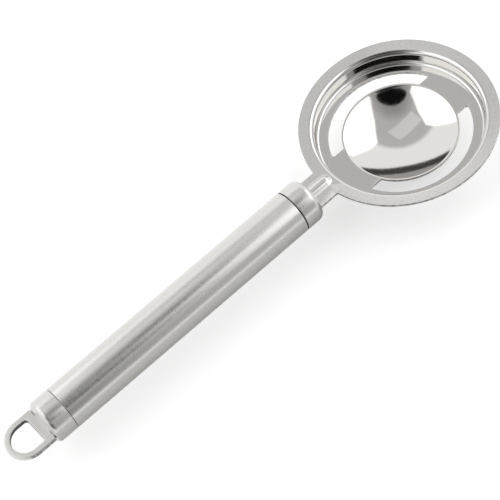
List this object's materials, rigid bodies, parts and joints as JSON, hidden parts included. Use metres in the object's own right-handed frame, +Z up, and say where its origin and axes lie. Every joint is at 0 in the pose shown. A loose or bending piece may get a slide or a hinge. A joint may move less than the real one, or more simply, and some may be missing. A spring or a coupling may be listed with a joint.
{
  "type": "egg separator",
  "caption": "Hand-held steel egg separator: flat-rimmed bowl with curved slots round a central yolk cup, ribbed neck, round hollow handle with end caps and a hang loop.",
  "frame": {"origin": "under the middle of the whole tool, level with the lowest point of the yolk cup, with the rim level", "axes": "+X along the handle towards the head, +Z up out of the bowl, Y across, with XZ as the plane of symmetry"},
  "size_m": [0.2244, 0.075, 0.024],
  "materials": {
    "head_steel": "polished bowl and cup, satin rim",
    "handle_steel": "brushed round the handle",
    "seal_rubber": "matt",
    "loop_steel": "satin",
    "weld_steel": "as welded"
  },
  "bodies": {
    "root": {"separator_head": "head_steel", "front_cap": "handle_steel", "front_seal": "seal_rubber", "handle_tube": "handle_steel", "end_cap": "handle_steel", "hang_loop": "loop_steel", "tang_weld": "weld_steel", "loop_weld": "weld_steel"}
  },
  "joints": []
}
